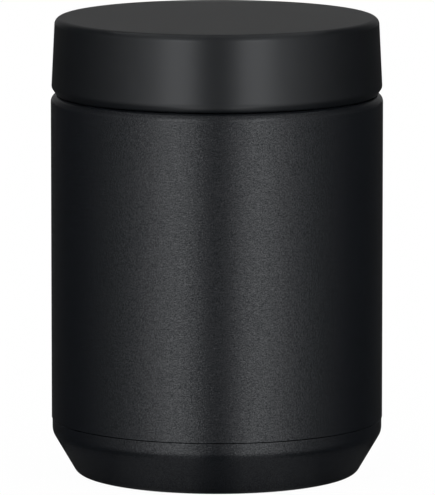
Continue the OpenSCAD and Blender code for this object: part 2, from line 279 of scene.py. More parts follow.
def supported(loop: Outline, room: float, zone: tuple[float, float, float] | None,
              ring_step: float = 0.16) -> Outline:
    """Adds points to the straight sides of a closed outline, so that they shade flat.

    Args:
        loop: The outline.
        room: How far from each end of a side its first and last new points lie.
        zone: Radius, lowest and highest height of a wall that needs dense points, if there is one.
        ring_step: The largest height between two of the dense points.

    Returns:
        The outline with its added points.
    """
    points: Outline = []
    for i, p in enumerate(loop):
        q = loop[(i + 1) % len(loop)]
        length = math.hypot(q[0] - p[0], q[1] - p[1])
        points.append(p)
        if length < 3 * room:
            continue
        shares = [room / length, 1 - room / length]
        if zone and abs(p[0] - zone[0]) < ON_AXIS and abs(q[0] - zone[0]) < ON_AXIS:
            low, high = max(min(p[1], q[1]), zone[1]), min(max(p[1], q[1]), zone[2])
            count = math.ceil((high - low) / ring_step)
            heights = [low + (high - low) * k / count for k in range(count + 1)]
            shares += [(z - p[1]) / (q[1] - p[1]) for z in heights]
        first = room / length * 0.99  # a hair less than room, so that its own point stays
        shares = sorted(s for s in shares if first <= s <= 1 - first)
        points += [(p[0] + (q[0] - p[0]) * s, p[1] + (q[1] - p[1]) * s) for s in shares]
    return points


@dataclass(frozen=True)
class Turned:
    """A piece spun about the jar's axis from a closed outline.

    Its sharp corners are eased by edge, its straight sides get a ring of points at room from each
    end, and zone is the radius and the heights of a wall that screw ridges are raised on.
    """

    name: str
    outline: Outline
    segments: int = 192
    edge: float = 0.12
    room: float = 0.12
    zone: tuple[float, float, float] | None = None

    def build(self) -> Piece:
        """Makes the mesh, its faces pointing outwards and its poles closed.

        Returns:
            The new object, at the origin.
        """
        loop = supported(eased(self.outline, self.edge), self.room, self.zone)
        area = sum(a[0] * b[1] - b[0] * a[1] for a, b in zip(loop, loop[1:] + loop[:1]))
        if area < 0:
            loop.reverse()
        rows: list[list[int]] = []
        verts: list[tuple[float, float, float]] = []
        for r, z in loop:
            if r < ON_AXIS:
                rows.append([len(verts)] * self.segments)
                verts.append((0.0, 0.0, z * MM))
                continue
            rows.append(list(range(len(verts), len(verts) + self.segments)))
            for k in range(self.segments):
                a = 2 * math.pi * k / self.segments
                verts.append((r * MM * math.cos(a), r * MM * math.sin(a), z * MM))
        faces = []
        for low, high in zip(rows, rows[1:] + rows[:1]):
            for k in range(self.segments):
                n = (k + 1) % self.segments
                ring = dict.fromkeys((low[k], low[n], high[n], high[k]))
                if len(ring) > 2:
                    faces.append(tuple(ring))
        mesh = bpy.data.meshes.new(self.name)
        mesh.from_pydata(verts, [], faces)
        mesh.polygons.foreach_set("use_smooth", [True] * len(mesh.polygons))
        mesh.update()
        return in_scene(self.name, mesh)


# ---- Geometry Nodes ----


def new_tree(name: str, numbers: tuple[str, ...], counts: tuple[str, ...] = ()) -> tuple[Tree, Any]:
    """Starts a Geometry Nodes tree that takes geometry, sizes and a finish.

    Args:
        name: The tree's name.
        numbers: The names of the inputs that are sizes.
        counts: The names of the inputs that are whole numbers.

    Returns:
        The tree, and its inputs by name, as sockets to link from.
    """
    tree = bpy.data.node_groups.new(name, "GeometryNodeTree")
    tree.interface.new_socket("Geometry", in_out="OUTPUT", socket_type="NodeSocketGeometry")
    for label, kind in {
        "Geometry": "NodeSocketGeometry", **dict.fromkeys(counts, "NodeSocketInt"),
        **dict.fromkeys(numbers, "NodeSocketFloat"), "Finish": "NodeSocketMaterial",
    }.items():
        tree.interface.new_socket(label, in_out="INPUT", socket_type=kind)
    return tree, add_node(tree, "NodeGroupInput").outputs


def close_tree(tree: Tree, shape: Node, finish: Socket) -> Tree:
    """Ends a Geometry Nodes tree with real geometry that has its finish.

    Args:
        tree: The tree.
        shape: The node that makes the geometry.
        finish: The input that holds the finish.

    Returns:
        The tree.
    """
    real = add_node(tree, "GeometryNodeRealizeInstances", {0: shape})
    done = add_node(tree, "GeometryNodeSetMaterial", {"Geometry": real, "Material": finish})
    add_node(tree, "NodeGroupOutput", {0: done})
    return tree


def run_tree(piece: Piece, tree: Tree, values: dict[str, Any]) -> None:
    """Runs a tree on a piece and keeps the result as its plain mesh.

    Args:
        piece: The object that the tree works on.
        tree: The tree.
        values: The tree's inputs by name.
    """
    modifier = piece.modifiers.new(tree.name, "NODES")
    modifier.node_group = tree
    for item in tree.interface.items_tree:
        if item.in_out == "INPUT" and item.name in values:
            modifier[item.identifier] = values[item.name]
    evaluated = piece.evaluated_get(bpy.context.evaluated_depsgraph_get())
    mesh = bpy.data.meshes.new_from_object(evaluated)
    piece.modifiers.clear()
    piece.data = mesh


@dataclass(frozen=True)
class ScrewRidges:
    """Helical ridges with soft flanks and faded ends, raised on a turned wall."""

    wall_r: float
    side: Side
    height: float
    start_z: float
    rise: float
    phase: float
    starts: int = 3
    lead: float = 15.0
    crest_w: float = 1.0
    foot_w: float = 2.1
    ramp: float = 18.0

    def raise_on(self, piece: Piece, material: Material) -> None:
        """Raises the ridges on a piece and gives it its material.

        Args:
            piece: A turned piece with dense rings on the wall.
            material: The piece's finish.
        """
        tree = bpy.data.node_groups.get("screw_ridges") or self._tree()
        run_tree(piece, tree, {
            "Wall Radius": self.wall_r * MM, "Height": self.side.value * self.height * MM,
            "Start Height": self.start_z * MM, "Sweep": self.rise / self.lead,
            "Phase": self.phase / 360, "Starts": float(self.starts), "Lead": self.lead * MM,
            "Crest Half Width": self.crest_w / 2 * MM, "Foot Half Width": self.foot_w / 2 * MM,
            "Ramp": self.ramp / 360, "Finish": material,
        })

    @staticmethod
    def _tree() -> Tree:
        """Builds the tree. Angles in it are shares of a full turn.

        Returns:
            The tree.
        """
        tree, get = new_tree("screw_ridges", (
            "Wall Radius", "Height", "Start Height", "Sweep", "Phase", "Starts", "Lead",
            "Crest Half Width", "Foot Half Width", "Ramp",
        ))
        point = add_node(tree, "GeometryNodeInputPosition")
        xyz = add_node(tree, "ShaderNodeSeparateXYZ", {0: point}).outputs
        flat = add_node(tree, VECTOR_MATH, {0: point, 1: (1, 1, 0)}, operation="MULTIPLY")
        radius = add_node(tree, VECTOR_MATH, {0: flat}, operation="LENGTH")
        on_wall = add_node(tree, "FunctionNodeCompare", {
            "A": radius.outputs["Value"], "B": get["Wall Radius"], "Epsilon": 0.01 * MM,
        }, data_type="FLOAT", operation="EQUAL")

        # The turn from the start below this point, and the height of that start's ridge there
        angle = add_node(tree, MATH, {0: xyz[1], 1: xyz[0]}, operation="ARCTAN2")
        turn = add_node(tree, MATH, {0: angle, 1: 2 * math.pi}, operation="DIVIDE")
        turn = add_node(tree, MATH, {0: turn, 1: get["Phase"]}, operation="SUBTRACT")
        share = add_node(tree, MATH, {0: 1.0, 1: get["Starts"]}, operation="DIVIDE")
        turn = add_node(tree, MATH, {0: turn, 1: share, 2: 0.0}, operation="WRAP")
        centre = add_node(tree, MATH, {0: turn, 1: get["Lead"], 2: get["Start Height"]},
                          operation="MULTIPLY_ADD")
        pitch = add_node(tree, MATH, {0: get["Lead"], 1: get["Starts"]}, operation="DIVIDE")
        above = add_node(tree, MATH, {0: xyz[2], 1: centre}, operation="SUBTRACT")

        # The ridge nearest in height: this start's, or the one that began a start earlier
        which = add_node(tree, MATH, {0: above, 1: pitch}, operation="DIVIDE")
        which = add_node(tree, MATH, {0: which}, operation="ROUND")
        which = add_node(tree, "ShaderNodeClamp", {0: which, 1: 0.0, 2: 1.0})
        gone = add_node(tree, MATH, {0: which, 1: share, 2: turn}, operation="MULTIPLY_ADD")
        step = add_node(tree, MATH, {0: which, 1: pitch}, operation="MULTIPLY")
        off = add_node(tree, MATH, {0: above, 1: step}, operation="SUBTRACT")
        off = add_node(tree, MATH, {0: off}, operation="ABSOLUTE")

        # How far the point is pushed out: less near a ridge's ends and down its flanks
        left = add_node(tree, MATH, {0: get["Sweep"], 1: gone}, operation="SUBTRACT")
        end = add_node(tree, MATH, {0: gone, 1: left}, operation="MINIMUM")
        fade = add_node(tree, "ShaderNodeMapRange", {
            "Value": end, "From Min": 0.0, "From Max": get["Ramp"],
        }, interpolation_type="SMOOTHSTEP")
        section = add_node(tree, "ShaderNodeMapRange", {
            "Value": off, "From Min": get["Crest Half Width"], "From Max": get["Foot Half Width"],
            "To Min": 1.0, "To Max": 0.0,
        }, interpolation_type="SMOOTHSTEP")
        size = add_node(tree, MATH, {0: fade, 1: section}, operation="MULTIPLY")
        size = add_node(tree, MATH, {0: size, 1: get["Height"]}, operation="MULTIPLY")
        outward = add_node(tree, VECTOR_MATH, {0: flat}, operation="NORMALIZE")
        offset = add_node(tree, VECTOR_MATH, {0: outward, "Scale": size}, operation="SCALE")
        return close_tree(tree, add_node(tree, "GeometryNodeSetPosition", {
            "Geometry": get["Geometry"], "Selection": on_wall, "Offset": offset,
        }), get["Finish"])


@dataclass(frozen=True)
class CoilSpring:
    """A compression spring of round wire, with a closed turn at each end."""

    name: str
    coil_r: float
    wire_d: float
    low_z: float
    high_z: float
    turns: int = 7
    steps: int = 40
    wire_sides: int = 14
    end_pitch: float = 1.1

    def build(self, material: Material) -> Piece:
        """Makes the spring.

        Args:
            material: The wire's finish.

        Returns:
            The new object, at the origin.
        """
        piece = in_scene(self.name, bpy.data.meshes.new(self.name))
        end_rise = self.end_pitch * self.wire_d
        run_tree(piece, self._tree(), {
            "Points": self.turns * self.steps + 1, "Wire Sides": self.wire_sides,
            "Steps": float(self.steps), "Turns": float(self.turns),
            "Coil Radius": self.coil_r * MM,
            "Wire Radius": self.wire_d / 2 * MM, "Low Height": (self.low_z + self.wire_d / 2) * MM,
            "End Rise": end_rise * MM,
            "Open Rise": (self.high_z - self.low_z - self.wire_d - 2 * end_rise) * MM,
            "Finish": material,
        })
        shape = bmesh.new()
        shape.from_mesh(piece.data)
        bmesh.ops.remove_doubles(shape, verts=shape.verts, dist=1e-6)
        bmesh.ops.recalc_face_normals(shape, faces=shape.faces)
        shape.to_mesh(piece.data)
        shape.free()
        return piece

    @staticmethod
    def _tree() -> Tree:
        """Builds the tree.

        Returns:
            The tree.
        """
        tree, get = new_tree("coil_spring", (
            "Steps", "Turns", "Coil Radius", "Wire Radius", "Low Height", "End Rise", "Open Rise",
        ), ("Points", "Wire Sides"))
        line = add_node(tree, "GeometryNodeMeshLine", {"Count": get["Points"]})
        path = add_node(tree, "GeometryNodeMeshToCurve", {0: line})
        index = add_node(tree, "GeometryNodeInputIndex")
        turn = add_node(tree, MATH, {0: index, 1: get["Steps"]}, operation="DIVIDE")

        # Turns wound so far: of the closed ends, and the share of the open turns between them
        low_end = add_node(tree, "ShaderNodeClamp", {0: turn, 1: 0.0, 2: 1.0})
        last = add_node(tree, MATH, {0: get["Turns"], 1: 1.0}, operation="SUBTRACT")
        high_end = add_node(tree, MATH, {0: turn, 1: last}, operation="SUBTRACT")
        high_end = add_node(tree, "ShaderNodeClamp", {0: high_end, 1: 0.0, 2: 1.0})
        closed = add_node(tree, MATH, {0: low_end, 1: high_end}, operation="ADD")
        opened = add_node(tree, "ShaderNodeMapRange", {
            "Value": turn, "From Min": 1.0, "From Max": last,
        })
        height = add_node(tree, MATH, {0: closed, 1: get["End Rise"], 2: get["Low Height"]},
                          operation="MULTIPLY_ADD")
        height = add_node(tree, MATH, {0: opened, 1: get["Open Rise"], 2: height},
                          operation="MULTIPLY_ADD")
        angle = add_node(tree, MATH, {0: turn, 1: 2 * math.pi}, operation="MULTIPLY")
        x, y = (
            add_node(tree, MATH, {0: add_node(tree, MATH, {0: angle}, operation=wave),
                                  1: get["Coil Radius"]}, operation="MULTIPLY")
            for wave in ("COSINE", "SINE")
        )
        point = add_node(tree, "ShaderNodeCombineXYZ", {0: x, 1: y, 2: height})
        coil = add_node(tree, "GeometryNodeSetPosition", {"Geometry": path, "Position": point})
        wire = add_node(tree, "GeometryNodeCurvePrimitiveCircle", {
            "Resolution": get["Wire Sides"], "Radius": get["Wire Radius"],
        })
        return close_tree(tree, add_node(tree, "GeometryNodeCurveToMesh", {
            "Curve": coil, "Profile Curve": wire, "Fill Caps": True,
        }), get["Finish"])


# ---- Finishes ----


def material_of(name: str, shade: Callable[[Tree], Node]) -> Material:
    """Makes a material, or returns it if it is already there.

    Args:
        name: The material's name.
        shade: What builds its shader in a tree.

    Returns:
        The material.
    """
    made = bpy.data.materials.get(name)
    if made is None:
        made = bpy.data.materials.new(name)
        made.use_nodes = True
        tree = made.node_tree
        tree.nodes.clear()
        add_node(tree, "ShaderNodeOutputMaterial", {"Surface": shade(tree)})
    return made


def grain_bump(tree: Tree, where: Socket, size: float, depth: float,
               below: Socket | None = None) -> Socket:
    """Makes the normals of an irregular, fine relief.

    Args:
        tree: The material's tree.
        where: The coordinates that it lies in, in metres.
        size: The width of one hump, in mm.
        depth: The height of the relief, in mm.
        below: The normals of a coarser relief under it, if there is one.

    Returns:
        The output that holds the normals.
    """
    noise = add_node(tree, "ShaderNodeTexNoise", {
        "Vector": where, "Scale": 1 / (size * MM), "Detail": 2.0, "Roughness": 0.55,
    })
    inputs = {"Height": noise.outputs["Fac"], "Strength": 1.0, "Distance": depth * MM}
    if below is not None:
        inputs["Normal"] = below
    return add_node(tree, "ShaderNodeBump", inputs).outputs["Normal"]


@dataclass(frozen=True)
class Finish:
    """The finish of a piece: a real material and the way its surface was made.

    Its colour wanders between a dark and a light one, in hex.
    """

    name: str
    dark: str
    light: str

    def material(self) -> Material:
        """Makes the material, or returns it if it is already there."""
        return material_of(self.name, lambda tree: self.surface(
            tree, add_node(tree, "ShaderNodeTexCoord").outputs["Object"]))

    def surface(self, tree: Tree, where: Socket) -> Node:
        """Builds the shader. Each finish has its own.

        Args:
            tree: The material's tree.
            where: The object's own coordinates, in metres.

        Returns:
            The shader node.
        """
        raise NotImplementedError

    def blotched(self, tree: Tree, where: Socket, size: float) -> Socket:
        """Makes a colour that wanders between the dark one and the light one.

        Args:
            tree: The material's tree.
            where: The coordinates that it lies in, in metres.
            size: The width of one blotch, in mm.

        Returns:
            The output that holds the colour.
        """
        noise = add_node(tree, "ShaderNodeTexNoise", {
            "Vector": where, "Scale": 1 / (size * MM), "Detail": 3.0, "Roughness": 0.6,
        })
        return add_node(tree, "ShaderNodeMix", {
            "Factor": noise.outputs["Fac"], "A": linear(self.dark), "B": linear(self.light),
        }, data_type="RGBA").outputs["Result"]


@dataclass(frozen=True)
class PowderCoat(Finish):
    """Polyester powder coat on steel, sprayed dry and baked.

    The powder grains melt into low humps, which break up an otherwise satin highlight, and some
    of them end glossier than others. Real ones are about a tenth of a millimetre wide. They are
    drawn three to four times as coarse, so that they show. The black goes all the way through.
    """

    dark: str = "#0b0d10"
    light: str = "#0f1216"
    dull: str = "#8c8e90"
    glossy: str = "#fafcff"
    grain: float = 0.3
    roughness: float = 0.15
    specular: float = 0.82
    hump: float = 0.45
    hump_depth: float = 0.09
    peel: float = 2.4
    peel_depth: float = 0.01
    blotch: float = 0.7

    def surface(self, tree: Tree, where: Socket) -> Node:
        """Builds the shader.

        Args:
            tree: The material's tree.
            where: The object's own coordinates, in metres.

        Returns:
            The shader node.
        """
        orange_peel = grain_bump(tree, where, self.peel, self.peel_depth)
        grains = add_node(tree, "ShaderNodeTexNoise", {
            "Vector": where, "Scale": 1 / (self.grain * MM), "Detail": 0.0,
        })
        gloss = add_node(tree, "ShaderNodeMapRange", {
            "Value": grains.outputs["Fac"], "From Min": 0.25, "From Max": 0.75,
        })
        sheen = add_node(tree, "ShaderNodeMix", {
            "Factor": gloss, "A": linear(self.dull), "B": linear(self.glossy),
        }, data_type="RGBA")
        return add_node(tree, "ShaderNodeBsdfPrincipled", {
            "Base Color": self.blotched(tree, where, self.blotch),
            "Roughness": self.roughness, "IOR": 1.6, "Specular IOR Level": self.specular,
            "Specular Tint": sheen.outputs["Result"],
            "Normal": grain_bump(tree, where, self.hump, self.hump_depth, orange_peel),
        })


@dataclass(frozen=True)
class MouldedPlastic(Finish):
    """Polypropylene, injection moulded against a fine spark-eroded tool.

    It copies the tool's grain of about a tenth of a millimetre, which is below what shows, so it
    is drawn a little coarser and very shallow, and reads as an even satin.
    """

    dark: str = "#0c0e11"
    light: str = "#0e1114"
    roughness: float = 0.28
    specular: float = 0.68
    tint: str = "#fafcff"
    grain: float = 0.3
    grain_depth: float = 0.008
    flow: float = 14.0
    flow_depth: float = 0.02
    blotch: float = 9.0

    def surface(self, tree: Tree, where: Socket) -> Node:
        """Builds the shader.

        Args:
            tree: The material's tree.
            where: The object's own coordinates, in metres.

        Returns:
            The shader node.
        """
        flow = grain_bump(tree, where, self.flow, self.flow_depth)
        return add_node(tree, "ShaderNodeBsdfPrincipled", {
            "Base Color": self.blotched(tree, where, self.blotch),
            "Roughness": self.roughness, "IOR": 1.49, "Specular IOR Level": self.specular,
            "Specular Tint": linear(self.tint),
            "Normal": grain_bump(tree, where, self.grain, self.grain_depth, flow),
        })


@dataclass(frozen=True)
class TurnedSteel(Finish):
    """18/8 stainless steel, drawn to shape, brushed while it turns and washed in acid.

    The brush leaves fine rings round the axis, which draw highlights out across them, and the
    wash dulls them to a satin. The rings are a few hundredths of a millimetre apart on the real
    steel and are drawn wider, so that they show.
    """

    dark: str = "#d0cfce"
    light: str = "#dddcdb"
    roughness: float = 0.48
    ring_pitch: float = 0.12
    ring_depth: float = 0.0012
    blotch: float = 0.9
    haze: float = 11.0
    haze_less: float = 0.05
    haze_more: float = 0.07

    def surface(self, tree: Tree, where: Socket) -> Node:
        """Builds the shader.

        Args:
            tree: The material's tree.
            where: The object's own coordinates, in metres.

        Returns:
            The shader node.
        """
        xyz = add_node(tree, "ShaderNodeSeparateXYZ", {0: where}).outputs
        flat = add_node(tree, VECTOR_MATH, {0: where, 1: (1, 1, 0)}, operation="MULTIPLY")
        radius = add_node(tree, VECTOR_MATH, {0: flat}, operation="LENGTH").outputs["Value"]
        turned = add_node(tree, "ShaderNodeCombineXYZ", {0: radius, 1: xyz[2]}).outputs[0]
        haze = add_node(tree, "ShaderNodeTexNoise", {
            "Vector": where, "Scale": 1 / (self.haze * MM), "Detail": 4.0,
        })
        dulled = add_node(tree, "ShaderNodeMapRange", {
            "Value": haze.outputs["Fac"], "To Min": self.roughness - self.haze_less,
            "To Max": self.roughness + self.haze_more,
        })
        return add_node(tree, "ShaderNodeBsdfPrincipled", {
            "Base Color": self.blotched(tree, turned, self.blotch),
            "Metallic": 1.0, "Roughness": dulled, "Anisotropic": 0.45,
            "Tangent": add_node(tree, "ShaderNodeTangent", direction_type="RADIAL", axis="Z"),
            "Normal": grain_bump(tree, turned, self.ring_pitch, self.ring_depth),
        })


@dataclass(frozen=True)
class WrappedFoil(Finish):
    """Thin bright metal foil, wrapped by hand and creased where it was pressed down."""

    dark: str = "#c4c6c8"
    light: str = "#dcdddd"
    crease: float = 5.0
    crease_depth: float = 0.25
    crinkle: float = 1.1
    crinkle_depth: float = 0.02
    blotch: float = 2.0

    def surface(self, tree: Tree, where: Socket) -> Node:
        """Builds the shader.

        Args:
            tree: The material's tree.
            where: The object's own coordinates, in metres.

        Returns:
            The shader node.
        """
        cells = add_node(tree, "ShaderNodeTexVoronoi", {
            "Vector": where, "Scale": 1 / (self.crease * MM),
        })
        creased = add_node(tree, "ShaderNodeBump", {
            "Height": cells.outputs["Distance"], "Distance": self.crease_depth * MM,
        })
        return add_node(tree, "ShaderNodeBsdfPrincipled", {
            "Base Color": self.blotched(tree, where, self.blotch),
            "Metallic": 1.0, "Roughness": 0.18,
            "Normal": grain_bump(tree, where, self.crinkle, self.crinkle_depth,
                                 creased.outputs["Normal"]),
        })


@dataclass(frozen=True)
class GrainyMetal(Finish):
    """Metal with a dull, grainy skin: a sintered pellet, or solder that has set in the air."""

    dark: str = "#5f6062"
    light: str = "#8a8b8c"
    roughness: float = 0.6
    grain: float = 0.25
    grain_depth: float = 0.03

    def surface(self, tree: Tree, where: Socket) -> Node:
        """Builds the shader.

        Args:
            tree: The material's tree.
            where: The object's own coordinates, in metres.

        Returns:
            The shader node.
        """
        return add_node(tree, "ShaderNodeBsdfPrincipled", {
            "Base Color": self.blotched(tree, where, self.grain * 2),
            "Metallic": 1.0, "Roughness": self.roughness,
            "Normal": grain_bump(tree, where, self.grain, self.grain_depth),
        })


@dataclass(frozen=True)
class BeadFoam(Finish):
    """Expanded polystyrene: beads about 2.5 mm wide, swollen together, with dimples between."""

    dark: str = "#dedcd5"
    light: str = "#efeee9"
    bead: float = 2.5
    dimple: float = 0.35

    def surface(self, tree: Tree, where: Socket) -> Node:
        """Builds the shader.

        Args:
            tree: The material's tree.
            where: The object's own coordinates, in metres.

        Returns:
            The shader node.
        """
        beads = add_node(tree, "ShaderNodeTexVoronoi", {
            "Vector": where, "Scale": 1 / (self.bead * MM),
        }, feature="SMOOTH_F1").outputs["Distance"]
        colour = add_node(tree, "ShaderNodeMix", {
            "Factor": beads, "A": linear(self.light), "B": linear(self.dark),
        }, data_type="RGBA")
        dimpled = add_node(tree, "ShaderNodeBump", {
            "Height": beads, "Distance": self.dimple * MM,
        }, invert=True)
        return add_node(tree, "ShaderNodeBsdfPrincipled", {
            "Base Color": colour.outputs["Result"], "Roughness": 0.75, "IOR": 1.45,
            "Normal": dimpled,
        })


@dataclass(frozen=True)
class MouldedSilicone(Finish):
    """Translucent silicone rubber, press moulded: a milky body under a faintly dusty skin."""

    dark: str = "#b9bab6"
    light: str = "#cdcdc9"
    grain: float = 0.35
    grain_depth: float = 0.004
    blotch: float = 1.6

    def surface(self, tree: Tree, where: Socket) -> Node:
        """Builds the shader.

        Args:
            tree: The material's tree.
            where: The object's own coordinates, in metres.

        Returns:
            The shader node.
        """
        return add_node(tree, "ShaderNodeBsdfPrincipled", {
            "Base Color": self.blotched(tree, where, self.blotch),
            "Roughness": 0.48, "IOR": 1.41, "Subsurface Weight": 0.35,
            "Subsurface Radius": (1.0, 1.0, 0.9), "Subsurface Scale": 0.8 * MM,
            "Normal": grain_bump(tree, where, self.grain, self.grain_depth),
        })


BODY_COAT = PowderCoat("black_powder_coat")
LID_SKIN = MouldedPlastic("black_satin_polypropylene")
LID_INSIDE = MouldedPlastic("black_plain_polypropylene", roughness=0.33, specular=0.5)
STOPPER_SKIN = MouldedPlastic("dark_grey_polypropylene", "#3a3c3f", "#414346", 0.34, 0.5)
STEEL = TurnedSteel("satin_stainless_steel")
DRAWN_WIRE = TurnedSteel("drawn_stainless_wire", "#a9a8a6", "#bdbcba", 0.22, 0.05, 0.0006)
FOIL = WrappedFoil("wrapped_aluminium_foil")
SINTERED = GrainyMetal("sintered_getter_alloy")
SOLDER = GrainyMetal("tin_solder", "#8d9193", "#a4a7a8", 0.38, 0.8, 0.012)
FOAM = BeadFoam("expanded_polystyrene")
SILICONE = MouldedSilicone("translucent_silicone")


def place(piece: Piece, body: Body, slot: Slot, finish: Finish, *nodes: str) -> None:
    """Gives a piece its finish, its body and the nodes that it stands for.

    Args:
        piece: The finished piece.
        body: The body that it rides on.
        slot: Its material slot. It is not used.
        finish: Its finish.
        *nodes: The nodes that it replaces.
    """
    piece.data.materials.clear()
    piece.data.materials.append(finish.material())
    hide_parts(*nodes)
    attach(piece, body.value)
    log.info("%s: %d faces, %s, rides on %s", piece.name, len(piece.data.polygons), finish.name,
             body.value)


def dress(node: str, finish: Finish) -> None:
    """Gives a node that stays as it is a finish of its own.

    Args:
        node: The node's name.
        finish: Its finish.
    """
    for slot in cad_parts[node].material_slots:
        slot.material = finish.material()
    log.info("%s: kept, %s", node, finish.name)


# ---- The jar's sub-assemblies ----


@dataclass(frozen=True)
class Sizes:
    """Sizes that more than one sub-assembly is built from, in mm."""

    body_r: float = 47.5
    shoulder_z: float = 109.3
    mouth_r: float = 35.0
    neck_h: float = 12.0
    outer_sheet: float = 0.6
    inner_sheet: float = 0.5
    vacuum_gap: float = 2.8
    lid_h: float = 22.0
    rim_round: float = 1.2
    rim_roll: float = 0.4
    ridge_h: float = 1.1
    ridge_room: float = 0.4
    ridge_drop: float = 8.6
    ridge_phase: float = 17.0
    weld_gap: float = 0.05

    @property
    def wall_in_r(self) -> float:
        """Inside radius of the painted wall."""
        return self.body_r - self.outer_sheet

    @property
    def inner_r(self) -> float:
        """Inside radius of the food space."""
        return self.wall_in_r - self.vacuum_gap - self.inner_sheet

    @property
    def rim_z(self) -> float:
        """Height of the rim."""
        return self.shoulder_z + self.neck_h

    @property
    def lip_low_z(self) -> float:
        """Height of the lower edge of the rolled lip."""
        return self.rim_z - self.rim_round - self.rim_roll

    @property
    def neck_r(self) -> float:
        """Outside radius of the neck."""
        return self.mouth_r + 2 * self.rim_round

    @property
    def collar_r(self) -> float:
        """Inside radius of the lid's threaded skirt."""
        return self.neck_r + self.ridge_h + self.ridge_room

    @property
    def ridge_z(self) -> float:
        """Height at which the neck's screw ridges start."""
        return self.rim_z - self.ridge_drop


@dataclass(frozen=True)
class PaintedShell:
    """The outer wall with its shoulder and threaded neck, and the base cup under it."""

    sizes: Sizes
    shoulder_round: float = 2.2
    neck_root_round: float = 0.8
    ridge_rise: float = 5.7
    seam_z: float = 16.0
    seam_step: float = 0.2
    seam_gap: float = 0.15
    lap_h: float = 4.0
    taper_z: float = 12.0
    taper_round: float = 4.5
    foot_r: float = 40.25
    foot_round: float = 2.6
    foot_in_r: float = 31.0
    hollow_r: float = 28.5
    hollow_h: float = 2.0
    foot_in_round: float = 1.2
    dimple_z: float = 3.0
    dimple_r: float = 4.5
    dimple_flare: float = 1.5
    dimple_round: float = 0.8
    pump_hole_r: float = 1.0

    def build(self) -> None:
        """Builds both pieces and the screw ridges on the neck."""
        s = self.sizes
        top = s.lip_low_z - s.weld_gap
        wall = Turned("painted_wall", sheet(rounded(
            (s.body_r, self.seam_z),
            (s.body_r, s.shoulder_z, self.shoulder_round),
            (s.neck_r, s.shoulder_z, self.neck_root_round),
            (s.neck_r, top),
        ), s.outer_sheet), zone=(s.neck_r, s.shoulder_z, top)).build()
        ScrewRidges(s.neck_r, Side.OUTSIDE, s.ridge_h, s.ridge_z, self.ridge_rise,
                    s.ridge_phase).raise_on(wall, BODY_COAT.material())
        place(wall, Body.JAR, Slot.BODY_PAINT, BODY_COAT, "outer_shell")

        base_r = s.body_r - self.seam_step
        lap_r = s.wall_in_r - s.weld_gap
        joggle_z = self.seam_z - s.weld_gap
        base = Turned("painted_base", sheet(rounded(
            (self.pump_hole_r, self.dimple_z),
            (self.dimple_r, self.dimple_z, self.dimple_round),
            (self.dimple_r + self.dimple_flare, self.hollow_h, self.dimple_round),
            (self.hollow_r, self.hollow_h, self.foot_in_round),
            (self.foot_in_r, 0.0, self.foot_in_round),
            (self.foot_r, 0.0, self.foot_round),
            (base_r, self.taper_z, self.taper_round),
            (base_r, joggle_z - self.seam_gap),
            (lap_r, joggle_z),
            (lap_r, self.seam_z + self.lap_h),
        ), s.outer_sheet)).build()
        place(base, Body.JAR, Slot.BODY_PAINT, BODY_COAT, "outer_base")


@dataclass(frozen=True)
class SteelVessel:
    """The bare steel inside: food space, mouth, rim and the parts that hold the vacuum."""

    sizes: Sizes
    joint_z: float = 22.0
    floor_z: float = 8.5
    corner: float = 12.0
    shoulder_drop: float = 14.0
    shoulder_round: float = 7.0
    neck_drop: float = 5.0
    neck_round: float = 5.0
    disc_r: float = 12.0
    disc_t: float = 0.5
    disc_top_z: float = 1.95
    disc_round: float = 0.15
    disc_segments: int = 96

    def build(self) -> None:
        """Builds the vessel and the disc under the base, and dresses what the vacuum hides."""
        s = self.sizes
        wall = rounded(
            (s.inner_r, self.joint_z),
            (s.inner_r, s.shoulder_z - self.shoulder_drop, self.shoulder_round),
            (s.mouth_r, s.shoulder_z - self.neck_drop, self.neck_round),
            (s.mouth_r, s.lip_low_z),
        )
        lip = arc((s.mouth_r + s.rim_round, s.rim_z - s.rim_round), s.rim_round, 180, -180)
        back = moved(wall, -s.inner_sheet)[::-1]
        vessel = Turned("steel_vessel", wall + lip + [(s.neck_r, s.lip_low_z)] + back).build()
        place(vessel, Body.JAR, Slot.STEEL, STEEL, "inner_vessel")

        floor = Turned("steel_floor", sheet(rounded(
            (0.0, self.floor_z),
            (s.inner_r, self.floor_z, self.corner),
            (s.inner_r, self.joint_z - s.weld_gap),
        ), -s.inner_sheet)).build()
        place(floor, Body.JAR, Slot.STEEL, STEEL, "inner_base")

        low = self.disc_top_z - self.disc_t
        disc = Turned("pump_disc", [
            (0.0, low), (self.disc_r, low), (self.disc_r, self.disc_top_z), (0.0, self.disc_top_z),
        ], self.disc_segments, edge=self.disc_round).build()
        place(disc, Body.JAR, Slot.STEEL, STEEL, "seal_cover")

        dress("radiation_foil", FOIL)
        dress("base_foil", FOIL)
        dress("getter", SINTERED)
        dress("getter_holder", STEEL)
        dress("vacuum_seal", SOLDER)


